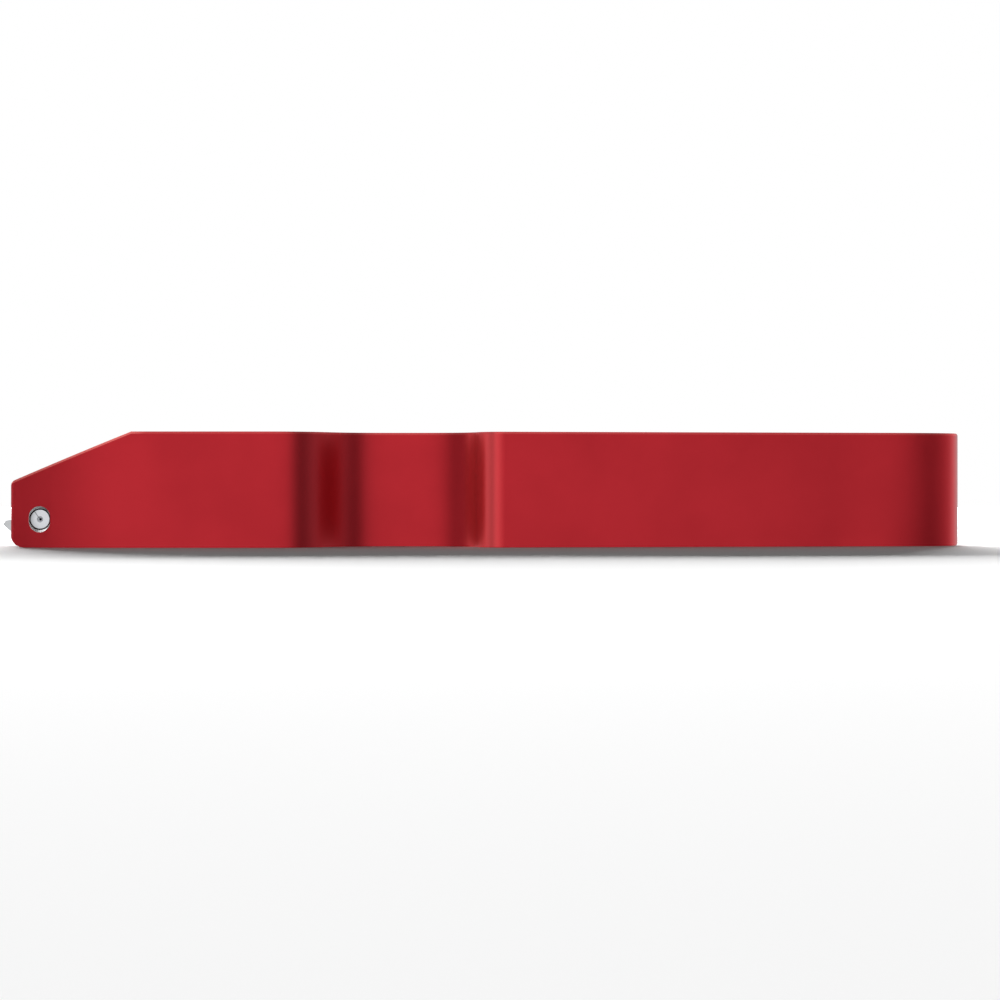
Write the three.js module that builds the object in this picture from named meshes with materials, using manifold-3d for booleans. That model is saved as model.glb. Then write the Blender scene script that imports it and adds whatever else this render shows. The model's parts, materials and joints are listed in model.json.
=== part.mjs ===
// Ski edge and sidewall tuning tool: a milled aluminium handle. Its forked nose carries a carbide cutter on
// a steel rocker, a thumb knob that sets the cutting depth, and a stainless guide plate that slides out
// of the bottom face.
//
// Millimetres. +X runs from the nose to the grip end and +Z is up. Held by the grip with the nose ahead,
// -Y is the left side. The origin is on the flat bottom face, in the handle's plane of symmetry and midway
// between the nose and the grip end.

import * as THREE from 'three';
import { mergeVertices } from 'three/addons/utils/BufferGeometryUtils.js';
import Module from 'manifold-3d';

const wasm = await Module();
wasm.setup();

// ---------------------------------------------------------------- driving dimensions

const GAP = 0.3; // running and fitting gap between neighbouring pieces
const BEYOND = 1; // how far a cutting shape runs past the face that it opens

// Handle, seen from above: half-widths along its length
const LENGTH = 194;
const HEIGHT = 23.2;
const NOSE_X = -LENGTH / 2;
const TAIL_X = LENGTH / 2;
const HEAD_HALF = 22.5;
const NOSE_HALF = 19.8;
const WAIST_HALF = 10.8;
const PALM_HALF = 20.3;
const TAIL_HALF = 12.1;
const HEAD_FRONT_X = -76;
const HEAD_BACK_X = -46;
const WAIST_FRONT_X = -20;
const WAIST_BACK_X = -15;
const CREST_X = 2.5;
const TAIL_START_X = 70;
const EDGE_BEVEL = 0.5;

// Handle, seen from the side
const SLOPE_FOOT_Z = 13.1;
const SLOPE_TOP_X = -72.2;
const NOSE_TOP_RADIUS = 1.7;
const NOSE_LOW_RADIUS = 2.8;
const TAIL_EDGE_RADIUS = 1.3;

// Nose pin: a 4 mm slotted spring pin
const PIN_X = -90.8;
const PIN_Z = 5.65;
const PIN_RADIUS = 2;
const PIN_HALF_LENGTH = 20.4;
const PIN_INNER_RADIUS = 0.7;
const PIN_SLIT = 0.5;
const PIN_MOUTH_RADIUS = 2.7;
const PIN_MOUTH_Y = 20.3;

// Fork that holds the rocker
const SLOT_HALF = 7;
const SLOT_TOP = 10.2;
const SLOT_FLOOR = 1.5;
const SLOT_OPEN_BACK_X = -84;
const SLOT_BACK_X = -74.2;

// Rocker and cutter: a carbide block whose front edge is ground to a point
const ROCKER_HALF = SLOT_HALF - 0.5;
const ROCKER_BOSS = 3.8;
const ARM_BACK_X = -76.4;
const ARM_LOW = 3.2;
const ARM_TOP = 7.3;
const ARM_BORE_TOP = 5.2;
const ARM_BORE_RADIUS = 2.7;
const JAW_FRONT_X = -99.4;
const JAW_TOP = 9.3;
const INSERT_HALF = 4.5;
const INSERT_TIP_X = -101.7;
const INSERT_TIP_Z = 4.3;
const INSERT_BACK_X = -95;
const INSERT_LOW = 1.4;
const INSERT_TOP = 5.25;
const INSERT_HOLE = 1.5;
const CUTTER_SCREW_X = -97.2;
const CUTTER_SCREW_HEAD = 1.9;
const CUTTER_SCREW_SHANK = INSERT_HOLE - GAP;
const CUTTER_SCREW_TOP = 8.4;

// Depth knob, its plunger and its bearing
const KNOB_X = -78.9;
const KNOB_RADIUS = 8;
const KNOB_TEETH = 36;
const KNOB_TOOTH_DEPTH = 0.45;
const KNOB_LOW = 14.7;
const KNOB_TOP = 18.2;
const KNOB_POCKET_RADIUS = 8.8;
const KNOB_POCKET_FLOOR = 12.9;
const THUMB_TROUGH_HALF = 6;
const STEM_RADIUS = 3.4;
const STEM_LOW = 8.6;
const STEM_BORE = 2.3;
const STEM_BORE_TOP = 16.6;
const CLIP_LOW = 9.2;
const CLIP_THICK = 0.6;
const CLIP_GROOVE_RADIUS = 2.8;
const CLIP_RADIUS = 5;
const BUSH_RADIUS = 5;
const BUSH_LOW = 10.5;
const BUSH_FLANGE_RADIUS = 6.6;
const BUSH_FLANGE_THICK = 0.5;
const PLUNGER_RADIUS = STEM_BORE - 0.4;
const PLUNGER_TOP = 13.6;
const BLADE_HALF_X = 0.6;
const BLADE_HALF_Y = 1.7;
const BLADE_DEPTH = 0.75;

// Click detent beside the knob
const DETENT_Z = (KNOB_LOW + KNOB_TOP) / 2;
const BALL_RADIUS = 1.5;
const DETENT_BORE = BALL_RADIUS + GAP;
const GRUB_START_Y = 16.3;
const GRUB_END_Y = 21.3;

// Guide plate and the pocket that it slides in
const PLATE_LOW = 0.3;
const PLATE_TOP = 2.8;
const PLATE_FRONT_X = -94;
const PLATE_BRIDGE_X = -62;
const PLATE_BACK_X = -46;
const PRONG_INNER = 9.5;
const PRONG_OUTER = 17.5;
const PLATE_TRAVEL = 10;
const PLATE_CORNER = 1.5;
const PLATE_INNER_CORNER = 0.4;
const POCKET_CORNER = 1.2;
const GUIDE_SCREW_X = -80;
const GUIDE_SCREW_Y = (PRONG_INNER + PRONG_OUTER) / 2;
const GUIDE_SHANK = 1.5;
const GUIDE_HEAD = 2.9;
const GUIDE_HEAD_LOW = 0.45;
const GUIDE_LEDGE_Z = 1.5;
const GUIDE_SCREW_TOP = 8.2;

// Lock screw, sunk in the top of the head
const LOCK_X = -59;
const LOCK_HEAD_RADIUS = 7;
const LOCK_TEETH = 30;
const LOCK_HEAD_LOW = 15.9;
const LOCK_HEAD_TOP = 22.2;
const LOCK_POCKET_RADIUS = 7.6;
const LOCK_POCKET_FLOOR = 14.6;
const LOCK_BORE = 4.6;
const LOCK_STEM = 3;
const LOCK_STEM_LOW = 4.6;
const LOCK_WASHER_LOW = LOCK_POCKET_FLOOR + GAP;
const LOCK_WASHER_TOP = LOCK_HEAD_LOW - GAP;
const LOCK_BUSH_LOW = 6;
const LOCK_BUSH_TOP = 13;
const LOCK_PAD_RADIUS = 2.9;
const COIN_SLOT_HALF = 0.8;
const COIN_SLOT_DEPTH = 2.2;

// Hole for hanging the tool up
const HANG_X = 82;
const HANG_RADIUS = 4.5;
const HANG_BEVEL = 0.6;

// ---------------------------------------------------------------- materials

function finish(name, color, roughness, metalness) {
  return new THREE.MeshStandardMaterial({ name, color, roughness, metalness });
}

const redAnodised = finish('red_anodised', 0xb02d35, 0.42, 0.7);
const springSteel = finish('spring_steel', 0xb9bcc0, 0.3, 1);
const toolSteel = finish('tool_steel', 0x565a5e, 0.38, 0.9);
const carbide = finish('carbide', 0xc6c8ca, 0.28, 0.9);
const stainless = finish('stainless', 0xc4c6c8, 0.25, 1);
const blackAnodised = finish('black_anodised', 0x1c1c1e, 0.4, 0.6);
const bronze = finish('bronze', 0xa9824a, 0.35, 1);
const zincSteel = finish('zinc_steel', 0xa7abb0, 0.32, 1);
const nylon = finish('nylon', 0x24262a, 0.6, 0);

// ---------------------------------------------------------------- outlines

// A closed outline with round corners. Each corner is [x, y, radius].
function roundedOutline(corners, steps = 5) {
  const points = [];
  corners.forEach(([x, y, radius], index) => {
    const corner = new THREE.Vector2(x, y);
    if (!radius) {
      points.push(corner);
      return;
    }
    const [beforeX, beforeY] = corners[(index + corners.length - 1) % corners.length];
    const [afterX, afterY] = corners[(index + 1) % corners.length];
    const back = new THREE.Vector2(beforeX - x, beforeY - y).normalize();
    const ahead = new THREE.Vector2(afterX - x, afterY - y).normalize();
    const half = Math.acos(back.dot(ahead)) / 2;
    const toCentre = back.clone().add(ahead).normalize();
    const centre = corner.clone().addScaledVector(toCentre, radius / Math.sin(half));
    const start = corner.clone().addScaledVector(back, radius / Math.tan(half)).sub(centre);
    const end = corner.clone().addScaledVector(ahead, radius / Math.tan(half)).sub(centre);
    const sweep = Math.atan2(start.cross(end), start.dot(end));
    for (let step = 0; step <= steps; step += 1) {
      points.push(start.clone().rotateAround(new THREE.Vector2(), (sweep * step) / steps).add(centre));
    }
  });
  return points;
}

// A round outline with straight teeth, such as a coarse knurl.
function toothedOutline(radius, depth, teeth) {
  const points = [];
  for (let tooth = 0; tooth < teeth; tooth += 1) {
    for (const [share, reach] of [[0, radius], [0.42, radius], [0.71, radius - depth]]) {
      const angle = ((tooth + share) / teeth) * Math.PI * 2;
      points.push(new THREE.Vector2(reach * Math.cos(angle), reach * Math.sin(angle)));
    }
  }
  return points;
}

// A slot's outline: two half circles joined by straight sides along X.
function slotOutline(fromX, toX, y, radius, steps = 8) {
  const points = [];
  for (let step = 0; step <= steps; step += 1) {
    const angle = Math.PI / 2 + (Math.PI * step) / steps;
    points.push(new THREE.Vector2(fromX + radius * Math.cos(angle), y + radius * Math.sin(angle)));
  }
  for (let step = 0; step <= steps; step += 1) {
    const angle = -Math.PI / 2 + (Math.PI * step) / steps;
    points.push(new THREE.Vector2(toX + radius * Math.cos(angle), y + radius * Math.sin(angle)));
  }
  return points;
}

// ---------------------------------------------------------------- plain shapes

function box(x, y, z) {
  const geometry = new THREE.BoxGeometry(x[1] - x[0], y[1] - y[0], z[1] - z[0]);
  return geometry.translate((x[0] + x[1]) / 2, (y[0] + y[1]) / 2, (z[0] + z[1]) / 2);
}

// An XY outline, extruded along Z.
function plateZ(points, z, bevel = 0) {
  const geometry = new THREE.ExtrudeGeometry(new THREE.Shape(points), {
    depth: z[1] - z[0] - 2 * bevel,
    steps: 1,
    bevelEnabled: bevel > 0,
    bevelThickness: bevel,
    bevelSize: bevel,
    bevelOffset: -bevel,
    bevelSegments: 1,
  });
  return geometry.translate(0, 0, z[0] + bevel);
}

// An XZ outline, extruded along Y.
function plateY(points, y) {
  const options = { depth: y[1] - y[0], steps: 1, bevelEnabled: false };
  const geometry = new THREE.ExtrudeGeometry(new THREE.Shape(points), options);
  return geometry.rotateX(Math.PI / 2).translate(0, y[1], 0);
}

// A turned solid about Z through (x, y), from [radius, z] pairs that start and end on the axis.
function turned(profile, x, y, segments = 32) {
  const points = profile.map(([radius, z]) => new THREE.Vector2(radius, z));
  return new THREE.LatheGeometry(points, segments).rotateX(Math.PI / 2).translate(x, y, 0);
}

function roundZ(radius, x, y, z, segments = 32) {
  return turned([[0, z[0]], [radius, z[0]], [radius, z[1]], [0, z[1]]], x, y, segments);
}

// A ring about Z: a closed profile that stays clear of the axis.
function ringZ(inner, outer, x, z, segments = 32) {
  const profile = [[inner, z[0]], [outer, z[0]], [outer, z[1]], [inner, z[1]], [inner, z[0]]];
  return turned(profile, x, 0, segments);
}

// A turned solid about an axis along Y through (x, z), from [radius, y] pairs.
function turnedY(profile, x, z, segments = 24) {
  const points = profile.map(([radius, y]) => new THREE.Vector2(radius, y));
  return new THREE.LatheGeometry(points, segments).translate(x, 0, z);
}

function roundY(radius, x, z, y, segments = 24) {
  return turnedY([[0, y[0]], [radius, y[0]], [radius, y[1]], [0, y[1]]], x, z, segments);
}

// The centre line of a compression spring along +Z, with its first turn at z = 0.
class Helix extends THREE.Curve {
  constructor(radius, height, turns) {
    super();
    this.radius = radius;
    this.height = height;
    this.turns = turns;
  }

  getPoint(t, target = new THREE.Vector3()) {
    const angle = t * this.turns * Math.PI * 2;
    return target.set(this.radius * Math.cos(angle), this.radius * Math.sin(angle), this.height * t);
  }
}

// A coil spring along +Z that fills the height from 0 to length.
function coilSpring(outer, wire, length, turns) {
  const section = new THREE.Shape();
  section.absarc(0, 0, wire / 2, 0, Math.PI * 2);
  const path = new Helix(outer - wire / 2, length - wire * 1.1, turns);
  const options = { steps: turns * 14, curveSegments: 6, extrudePath: path };
  return new THREE.ExtrudeGeometry(section, options).translate(0, 0, wire * 0.55);
}

// ---------------------------------------------------------------- joining and cutting

function toSolid(geometry) {
  const bare = geometry.clone();
  bare.deleteAttribute('normal');
  bare.deleteAttribute('uv');
  const merged = mergeVertices(bare, 1e-4);
  const corners = merged.index.array;
  const kept = [];
  for (let index = 0; index < corners.length; index += 3) {
    const [a, b, c] = corners.slice(index, index + 3);
    if (a !== b && b !== c && c !== a) kept.push(a, b, c);
  }
  const vertProperties = new Float32Array(merged.attributes.position.array);
  const triVerts = new Uint32Array(kept);
  return new wasm.Manifold(new wasm.Mesh({ numProp: 3, vertProperties, triVerts }));
}

function toGeometry(solid) {
  const { vertProperties, triVerts } = solid.getMesh();
  const geometry = new THREE.BufferGeometry();
  geometry.setAttribute('position', new THREE.BufferAttribute(vertProperties, 3));
  geometry.setIndex(new THREE.BufferAttribute(triVerts, 1));
  geometry.computeVertexNormals();
  return geometry;
}

function join(...geometries) {
  return geometries.map(toSolid).reduce((whole, piece) => whole.add(piece));
}

function cut(solid, ...geometries) {
  return geometries.map(toSolid).reduce((whole, piece) => whole.subtract(piece), solid);
}

// ---------------------------------------------------------------- assembly

const tool = new THREE.Group();
tool.name = 'edge_tuning_tool';

function place(name, geometry, material) {
  const mesh = new THREE.Mesh(geometry, material);
  mesh.name = name;
  tool.add(mesh);
  return mesh;
}

// ---------------------------------------------------------------- handle

// One side of the handle from above, from the middle of the nose to the middle of the grip end.
function handleSide() {
  const side = new THREE.Path();
  side.moveTo(NOSE_X, 0);
  side.lineTo(NOSE_X, NOSE_HALF - 1.3);
  side.quadraticCurveTo(NOSE_X, NOSE_HALF - 0.25, NOSE_X + 1.2, NOSE_HALF);
  side.quadraticCurveTo(HEAD_FRONT_X - 9, HEAD_HALF, HEAD_FRONT_X, HEAD_HALF);
  side.lineTo(HEAD_BACK_X, HEAD_HALF);
  side.bezierCurveTo(
    HEAD_BACK_X + 16, HEAD_HALF, WAIST_FRONT_X - 17, WAIST_HALF, WAIST_FRONT_X, WAIST_HALF,
  );
  side.lineTo(WAIST_BACK_X, WAIST_HALF);
  side.bezierCurveTo(
    WAIST_BACK_X + 7, WAIST_HALF, CREST_X - 7.4, WAIST_HALF + 2, CREST_X - 6, PALM_HALF - 4.4,
  );
  side.bezierCurveTo(
    CREST_X - 4.9, PALM_HALF - 1.5, CREST_X - 3.4, PALM_HALF + 0.4, CREST_X, PALM_HALF,
  );
  side.lineTo(TAIL_START_X, TAIL_HALF);
  side.bezierCurveTo(TAIL_START_X + 15, TAIL_HALF - 1.8, TAIL_X, 11, TAIL_X, 0);
  return side.getPoints(12);
}

function handlePlan() {
  const side = handleSide();
  const mirrored = side
    .slice(1, -1)
    .reverse()
    .map((point) => new THREE.Vector2(point.x, -point.y));
  return [...side, ...mirrored];
}

function handleProfile() {
  return roundedOutline([
    [NOSE_X, 0, NOSE_LOW_RADIUS],
    [TAIL_X, 0, TAIL_EDGE_RADIUS],
    [TAIL_X, HEIGHT, TAIL_EDGE_RADIUS],
    [SLOPE_TOP_X, HEIGHT, 0],
    [NOSE_X, SLOPE_FOOT_Z, NOSE_TOP_RADIUS],
  ]);
}

// The hole for the nose pin, countersunk in both cheeks.
function pinBore() {
  const bore = PIN_RADIUS + GAP;
  const profile = [
    [0, -HEAD_HALF - BEYOND],
    [PIN_MOUTH_RADIUS, -HEAD_HALF - BEYOND],
    [PIN_MOUTH_RADIUS, -PIN_MOUTH_Y - 0.5],
    [bore, -PIN_MOUTH_Y],
    [bore, PIN_MOUTH_Y],
    [PIN_MOUTH_RADIUS, PIN_MOUTH_Y + 0.5],
    [PIN_MOUTH_RADIUS, HEAD_HALF + BEYOND],
    [0, HEAD_HALF + BEYOND],
  ];
  return turnedY(profile, PIN_X, PIN_Z, 32);
}

function hangHole() {
  const profile = [
    [0, -BEYOND],
    [HANG_RADIUS + HANG_BEVEL + BEYOND, -BEYOND],
    [HANG_RADIUS, HANG_BEVEL],
    [HANG_RADIUS, HEIGHT - HANG_BEVEL],
    [HANG_RADIUS + HANG_BEVEL + BEYOND, HEIGHT + BEYOND],
    [0, HEIGHT + BEYOND],
  ];
  return turned(profile, HANG_X, 0);
}

function handleSolid() {
  const above = HEIGHT + BEYOND;
  const front = NOSE_X - BEYOND;
  const middle = [-SLOT_HALF, SLOT_HALF];
  const channelTop = PLATE_TOP + GAP;
  const outer = PRONG_OUTER + GAP;
  const inner = PRONG_INNER - GAP;
  const pocketFront = PLATE_BRIDGE_X - PLATE_TRAVEL - 0.4;
  const pocketBack = PLATE_BACK_X + GAP;
  const pocket = roundedOutline([
    [pocketFront, -outer, 0],
    [pocketBack, -outer, POCKET_CORNER],
    [pocketBack, outer, POCKET_CORNER],
    [pocketFront, outer, 0],
  ]);

  const blank = toSolid(plateZ(handlePlan(), [0, HEIGHT], EDGE_BEVEL));
  const profile = toSolid(plateY(handleProfile(), [-HEAD_HALF - BEYOND, HEAD_HALF + BEYOND]));
  return cut(
    blank.intersect(profile),
    // fork for the rocker
    box([front, SLOT_OPEN_BACK_X], middle, [-BEYOND, SLOT_TOP]),
    box([SLOT_OPEN_BACK_X - BEYOND, SLOT_BACK_X], middle, [SLOT_FLOOR, SLOT_TOP]),
    pinBore(),
    // knob pocket, with a trough for the thumb
    roundZ(KNOB_POCKET_RADIUS, KNOB_X, 0, [KNOB_POCKET_FLOOR, above], 48),
    box([front, KNOB_X], [-THUMB_TROUGH_HALF, THUMB_TROUGH_HALF], [KNOB_POCKET_FLOOR, above]),
    roundZ(BUSH_RADIUS + GAP, KNOB_X, 0, [SLOT_TOP - BEYOND, KNOB_POCKET_FLOOR + BEYOND]),
    roundY(DETENT_BORE, KNOB_X, DETENT_Z, [KNOB_RADIUS, HEAD_HALF + BEYOND]),
    // guide plate pocket and channels
    plateZ(pocket, [-BEYOND, channelTop]),
    box([front, pocketFront + BEYOND], [inner, outer], [-BEYOND, channelTop]),
    box([front, pocketFront + BEYOND], [-outer, -inner], [-BEYOND, channelTop]),
    roundZ(GUIDE_SHANK + GAP, GUIDE_SCREW_X, GUIDE_SCREW_Y, [channelTop - BEYOND, 9], 20),
    roundZ(GUIDE_SHANK + GAP, GUIDE_SCREW_X, -GUIDE_SCREW_Y, [channelTop - BEYOND, 9], 20),
    // lock screw
    roundZ(LOCK_POCKET_RADIUS, LOCK_X, 0, [LOCK_POCKET_FLOOR, above], 48),
    roundZ(LOCK_BORE, LOCK_X, 0, [channelTop - BEYOND, LOCK_POCKET_FLOOR + BEYOND]),
    hangHole(),
  );
}

place('handle_body', toGeometry(handleSolid()), redAnodised);

// ---------------------------------------------------------------- nose pin

// A C-shaped section, with its slit towards the nose and up.
function pinSection() {
  const slitAngle = Math.atan(PIN_SLIT / 2 / PIN_RADIUS);
  const innerAngle = Math.asin(PIN_SLIT / 2 / PIN_INNER_RADIUS);
  const section = new THREE.Shape();
  section.absarc(0, 0, PIN_RADIUS, slitAngle, Math.PI * 2 - slitAngle);
  section.absarc(0, 0, PIN_INNER_RADIUS, Math.PI * 2 - innerAngle, innerAngle, true);
  return section.extractPoints(14).shape;
}

const nosePin = place(
  'nose_pin',
  plateY(pinSection(), [-PIN_HALF_LENGTH, PIN_HALF_LENGTH]).rotateY(THREE.MathUtils.degToRad(-125)),
  springSteel,
);
nosePin.position.set(PIN_X, 0, PIN_Z);

// ---------------------------------------------------------------- rocker and cutter

// The block in side view: a level top, a steep front bevel, and an undercut that leads back to the seat.
function insertProfile() {
  return [
    new THREE.Vector2(INSERT_BACK_X, INSERT_TOP),
    new THREE.Vector2(INSERT_TIP_X + 0.5, INSERT_TOP),
    new THREE.Vector2(INSERT_TIP_X, INSERT_TIP_Z),
    new THREE.Vector2(INSERT_TIP_X + 2.2, INSERT_TIP_Z - 1.9),
    new THREE.Vector2(INSERT_TIP_X + 2.5, INSERT_LOW),
    new THREE.Vector2(INSERT_BACK_X, INSERT_LOW),
  ];
}

// Where the cutter screw's head ends: it is flush with the block's underside.
const screwHeadTop = INSERT_LOW + 0.9;

function insertGeometry() {
  const mouth = CUTTER_SCREW_HEAD + GAP;
  const profile = [
    [0, INSERT_LOW - BEYOND],
    [mouth, INSERT_LOW - BEYOND],
    [mouth, INSERT_LOW],
    [INSERT_HOLE, screwHeadTop],
    [INSERT_HOLE, INSERT_TOP + BEYOND],
    [0, INSERT_TOP + BEYOND],
  ];
  const hole = turned(profile, CUTTER_SCREW_X, 0, 24);
  return toGeometry(cut(toSolid(plateY(insertProfile(), [-INSERT_HALF, INSERT_HALF])), hole));
}

function cutterScrew() {
  const head = INSERT_LOW + 0.1;
  const profile = [
    [0, head],
    [CUTTER_SCREW_HEAD, head],
    [CUTTER_SCREW_SHANK, screwHeadTop],
    [CUTTER_SCREW_SHANK, CUTTER_SCREW_TOP],
    [0, CUTTER_SCREW_TOP],
  ];
  const socket = roundZ(0.75, CUTTER_SCREW_X, 0, [head - BEYOND, head + 0.8], 6);
  return toGeometry(cut(toSolid(turned(profile, CUTTER_SCREW_X, 0, 24)), socket));
}

function rockerSolid() {
  const wide = [-ROCKER_HALF, ROCKER_HALF];
  const jawLow = INSERT_TOP + GAP;
  const jaw = roundedOutline([
    [PIN_X, JAW_TOP, 0],
    [JAW_FRONT_X, JAW_TOP - 0.6, 1],
    [JAW_FRONT_X, jawLow, 0.4],
    [PIN_X, jawLow, 0],
  ]);
  return cut(
    join(
      roundY(ROCKER_BOSS, PIN_X, PIN_Z, wide, 32),
      box([PIN_X, ARM_BACK_X], wide, [ARM_LOW, ARM_TOP]),
      plateY(jaw, wide),
    ),
    roundY(PIN_RADIUS + GAP, PIN_X, PIN_Z, [-ROCKER_HALF - BEYOND, ROCKER_HALF + BEYOND]),
    roundZ(INSERT_HOLE, CUTTER_SCREW_X, 0, [jawLow - BEYOND, CUTTER_SCREW_TOP + GAP], 24),
    // bore for the return spring and groove for the plunger's blade
    roundZ(ARM_BORE_RADIUS, KNOB_X, 0, [ARM_LOW - BEYOND, ARM_BORE_TOP], 24),
    box(
      [KNOB_X - BLADE_HALF_X - 0.4, KNOB_X + BLADE_HALF_X + 0.4],
      [-BLADE_HALF_Y - 0.6, BLADE_HALF_Y + 0.6],
      [ARM_TOP - BLADE_DEPTH, ARM_TOP + BEYOND],
    ),
  );
}

place('cutter_holder', toGeometry(rockerSolid()), toolSteel);
place('cutter_insert', insertGeometry(), carbide);
place('cutter_screw', cutterScrew(), zincSteel);

const holderSpring = coilSpring(2.3, 0.5, ARM_BORE_TOP - SLOT_FLOOR - 2 * GAP, 3);
place('holder_spring', holderSpring, springSteel).position.set(KNOB_X, 0, SLOT_FLOOR + GAP);

// ---------------------------------------------------------------- depth knob

function knobSolid() {
  const rim = plateZ(toothedOutline(KNOB_RADIUS, KNOB_TOOTH_DEPTH, KNOB_TEETH), [KNOB_LOW, KNOB_TOP], 0.3);
  return cut(
    join(rim, roundZ(STEM_RADIUS, 0, 0, [STEM_LOW, KNOB_LOW + BEYOND])),
    roundZ(STEM_BORE, 0, 0, [STEM_LOW - BEYOND, STEM_BORE_TOP], 24),
    ringZ(CLIP_GROOVE_RADIUS, STEM_RADIUS + BEYOND, 0, [CLIP_LOW - 0.2, CLIP_LOW + CLIP_THICK + 0.2]),
  );
}

// A snap ring: an open ring with a 70 degree mouth.
function snapRing() {
  const ring = new THREE.Shape();
  const mouth = THREE.MathUtils.degToRad(35);
  ring.absarc(0, 0, CLIP_RADIUS, mouth, Math.PI * 2 - mouth);
  ring.absarc(0, 0, CLIP_GROOVE_RADIUS + GAP, Math.PI * 2 - mouth, mouth, true);
  return plateZ(ring.extractPoints(12).shape, [CLIP_LOW, CLIP_LOW + CLIP_THICK]);
}

function bushGeometry() {
  const flangeLow = KNOB_POCKET_FLOOR + GAP;
  const bore = STEM_RADIUS + GAP;
  const profile = [
    [bore, BUSH_LOW],
    [BUSH_RADIUS, BUSH_LOW],
    [BUSH_RADIUS, flangeLow],
    [BUSH_FLANGE_RADIUS, flangeLow],
    [BUSH_FLANGE_RADIUS, flangeLow + BUSH_FLANGE_THICK],
    [bore, flangeLow + BUSH_FLANGE_THICK],
    [bore, BUSH_LOW],
  ];
  return turned(profile, KNOB_X, 0);
}

function plungerSolid() {
  const shoulder = ARM_TOP + GAP;
  const bladeLow = ARM_TOP - BLADE_DEPTH + GAP;
  return join(
    turned([[0, shoulder], [PLUNGER_RADIUS, shoulder], [PLUNGER_RADIUS, PLUNGER_TOP - 0.4],
      [PLUNGER_RADIUS - 0.4, PLUNGER_TOP], [0, PLUNGER_TOP]], 0, 0, 24),
    box([-BLADE_HALF_X, BLADE_HALF_X], [-BLADE_HALF_Y, BLADE_HALF_Y], [bladeLow, shoulder + 0.2]),
  );
}

place('depth_knob', toGeometry(knobSolid()), blackAnodised).position.x = KNOB_X;
place('knob_clip', snapRing(), springSteel).position.x = KNOB_X;
place('knob_bush', bushGeometry(), bronze);
place('knob_washer', ringZ(STEM_RADIUS + 0.5, 7.2, KNOB_X, [KNOB_LOW - GAP - 0.4, KNOB_LOW - GAP]), stainless);
place('depth_plunger', toGeometry(plungerSolid()), stainless).position.x = KNOB_X;

// ---------------------------------------------------------------- click detent

const ballY = KNOB_RADIUS + GAP + BALL_RADIUS;
const ball = new THREE.SphereGeometry(BALL_RADIUS, 20, 12);
place('detent_ball', ball, springSteel).position.set(KNOB_X, ballY, DETENT_Z);

const detentStart = ballY + BALL_RADIUS + GAP;
const detentSpring = coilSpring(1.4, 0.35, GRUB_START_Y - GAP - detentStart, 5).rotateX(-Math.PI / 2);
place('detent_spring', detentSpring, springSteel).position.set(KNOB_X, detentStart, DETENT_Z);

function detentScrew() {
  const socketRadius = 0.8;
  const socketY = GRUB_END_Y - 1.8;
  const profile = [
    [0, GRUB_START_Y],
    [BALL_RADIUS, GRUB_START_Y],
    [BALL_RADIUS, GRUB_END_Y - 0.3],
    [BALL_RADIUS - 0.3, GRUB_END_Y],
    [0, GRUB_END_Y],
  ];
  const socket = roundY(socketRadius, 0, 0, [socketY, GRUB_END_Y + BEYOND], 6);
  return toGeometry(cut(toSolid(turnedY(profile, 0, 0)), socket));
}

place('detent_screw', detentScrew(), zincSteel).position.set(KNOB_X, 0, DETENT_Z);

// ---------------------------------------------------------------- guide plate

function guidePlateSolid() {
  const outline = roundedOutline([
    [PLATE_FRONT_X, PRONG_INNER, PLATE_CORNER],
    [PLATE_FRONT_X, PRONG_OUTER, PLATE_CORNER],
    [PLATE_BACK_X, PRONG_OUTER, PLATE_CORNER],
    [PLATE_BACK_X, -PRONG_OUTER, PLATE_CORNER],
    [PLATE_FRONT_X, -PRONG_OUTER, PLATE_CORNER],
    [PLATE_FRONT_X, -PRONG_INNER, PLATE_CORNER],
    [PLATE_BRIDGE_X, -PRONG_INNER, PLATE_INNER_CORNER],
    [PLATE_BRIDGE_X, PRONG_INNER, PLATE_INNER_CORNER],
  ]);
  const slots = [-GUIDE_SCREW_Y, GUIDE_SCREW_Y].flatMap((y) => {
    const last = GUIDE_SCREW_X + PLATE_TRAVEL;
    return [
      plateZ(slotOutline(GUIDE_SCREW_X, last, y, GUIDE_SHANK + 0.4), [-BEYOND, PLATE_TOP + BEYOND]),
      plateZ(slotOutline(GUIDE_SCREW_X, last, y, GUIDE_HEAD + 0.4), [-BEYOND, GUIDE_LEDGE_Z]),
    ];
  });
  return cut(toSolid(plateZ(outline, [PLATE_LOW, PLATE_TOP], 0.25)), ...slots);
}

function guideScrew(y) {
  const headTop = GUIDE_LEDGE_Z - GAP;
  const profile = [
    [0, GUIDE_HEAD_LOW],
    [GUIDE_HEAD, GUIDE_HEAD_LOW],
    [GUIDE_HEAD, headTop],
    [GUIDE_SHANK, headTop],
    [GUIDE_SHANK, GUIDE_SCREW_TOP - 0.5],
    [GUIDE_SHANK - 0.5, GUIDE_SCREW_TOP],
    [0, GUIDE_SCREW_TOP],
  ];
  const socket = roundZ(0.9, GUIDE_SCREW_X, y, [GUIDE_HEAD_LOW - BEYOND, GUIDE_HEAD_LOW + 1.2], 6);
  return toGeometry(cut(toSolid(turned(profile, GUIDE_SCREW_X, y, 24)), socket));
}

place('guide_plate', toGeometry(guidePlateSolid()), stainless);
place('guide_screw_left', guideScrew(-GUIDE_SCREW_Y), zincSteel);
place('guide_screw_right', guideScrew(GUIDE_SCREW_Y), zincSteel);

// ---------------------------------------------------------------- lock screw

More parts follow.
